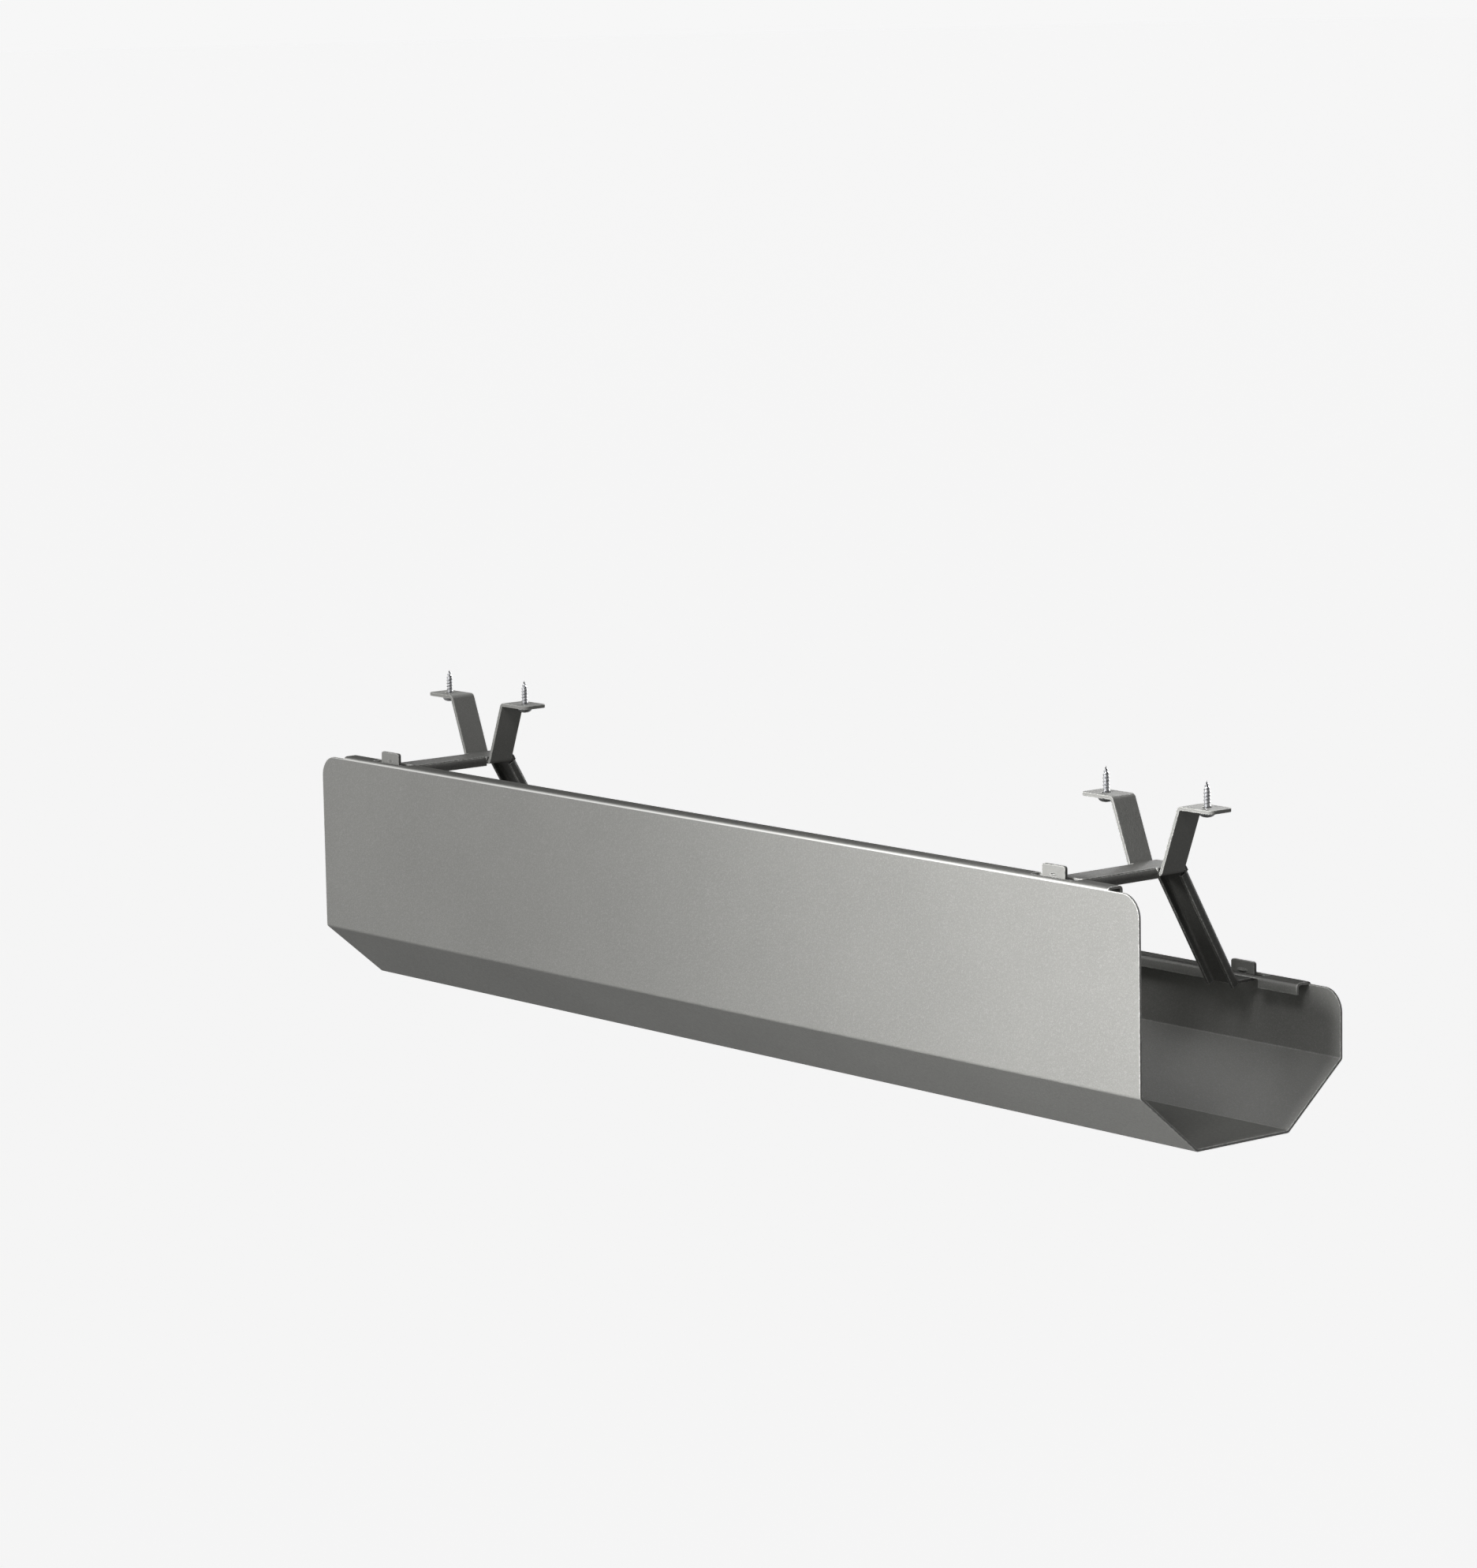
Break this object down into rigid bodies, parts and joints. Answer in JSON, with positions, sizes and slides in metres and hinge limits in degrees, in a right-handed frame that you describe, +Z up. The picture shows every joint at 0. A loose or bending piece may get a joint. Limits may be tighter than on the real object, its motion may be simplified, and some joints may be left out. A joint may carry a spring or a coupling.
{
  "type": "cable tray",
  "caption": "Under-desk cable tray: a folded sheet-metal trough with open ends that lifts off bent hangers screwed to the underside of a desktop.",
  "frame": {"origin": "on the underside of the desktop, midway between the two hangers and at mid-width of their straps", "axes": "+Z up into the desktop, +X along the trough, +Y from the tall wall to the short wall"},
  "size_m": [0.7, 0.1427, 0.1814],
  "materials": {
    "tray_coat": "satin grey powder coat with a fine speckled texture",
    "hanger_coat": "satin dark grey powder coat with a fine speckled texture",
    "screw_zinc": "bright zinc plate"
  },
  "bodies": {
    "hangers": {"hanger_left_arm": "hanger_coat", "hanger_left_strap": "hanger_coat", "screw_left_outer": "screw_zinc", "screw_left_inner": "screw_zinc", "hanger_right_arm": "hanger_coat", "hanger_right_strap": "hanger_coat", "screw_right_outer": "screw_zinc", "screw_right_inner": "screw_zinc"},
    "tray": {"tray": "tray_coat"}
  },
  "joints": [
    {"name": "tray_lift", "type": "slide", "parent": "hangers", "child": "tray", "axis": [0, 0, 1], "range_m": [0, 0.031]}
  ]
}
